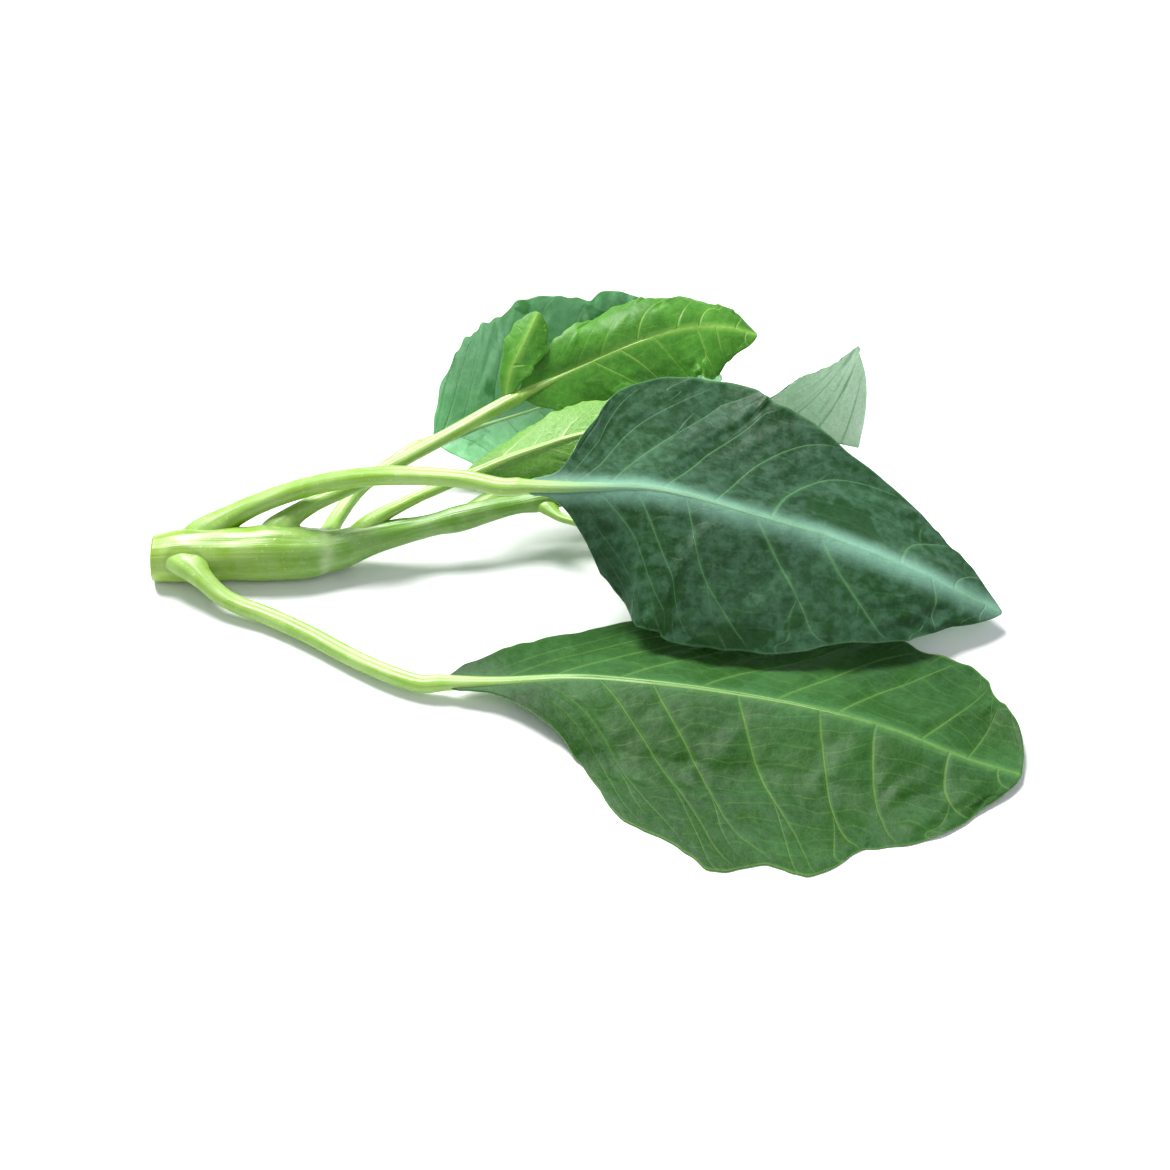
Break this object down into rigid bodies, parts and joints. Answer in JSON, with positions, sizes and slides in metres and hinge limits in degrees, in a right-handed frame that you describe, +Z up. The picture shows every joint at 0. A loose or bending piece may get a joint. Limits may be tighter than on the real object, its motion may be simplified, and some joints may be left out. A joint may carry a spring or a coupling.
{
  "type": "chinese broccoli",
  "caption": "Cut stalk of leafy greens laid flat: pale thick stem, long leaf stalks and broad, waxy, veined leaves.",
  "frame": {"origin": "under the middle of the whole stalk's bounding box, on the table it lies on", "axes": "+X from the stem's cut end towards the leaf tips, +Y away from the side with the big front leaf, +Z up"},
  "size_m": [0.3198, 0.261, 0.0665],
  "materials": {
    "stem": "smooth green skin with a pale waxy bloom",
    "leaf_stalk": "smooth pale green skin, slightly ribbed",
    "leaf_dark": "dark green leaf with lighter veins, satin",
    "leaf_waxy": "blue-green leaf with a waxy bloom",
    "leaf_blue": "light blue-green leaf with a waxy bloom",
    "leaf_bright": "bright yellow-green leaf, satin",
    "leaf_pale": "pale leaf underside with raised veins",
    "bud": "small closed green buds, matt"
  },
  "bodies": {
    "root": {"main_stem": "stem", "leaf_1_petiole": "leaf_stalk", "leaf_1_blade": "leaf_dark", "leaf_2_petiole": "leaf_stalk", "leaf_2_blade": "leaf_waxy", "leaf_3_petiole": "leaf_stalk", "leaf_3_blade": "leaf_bright", "leaf_4_petiole": "leaf_stalk", "leaf_4_blade": "leaf_pale", "leaf_5_petiole": "leaf_stalk", "leaf_5_blade": "leaf_blue", "leaf_6_petiole": "leaf_stalk", "leaf_6_blade": "leaf_waxy", "leaf_7_petiole": "leaf_stalk", "leaf_7_blade": "leaf_bright", "leaf_8_petiole": "leaf_stalk", "leaf_8_blade": "leaf_bright", "leaf_3_lobe": "leaf_bright", "bud_1": "bud", "bud_2": "bud", "bud_3": "bud", "bud_4": "bud", "bud_5": "bud", "bud_6": "bud", "bud_7": "bud"}
  },
  "joints": []
}
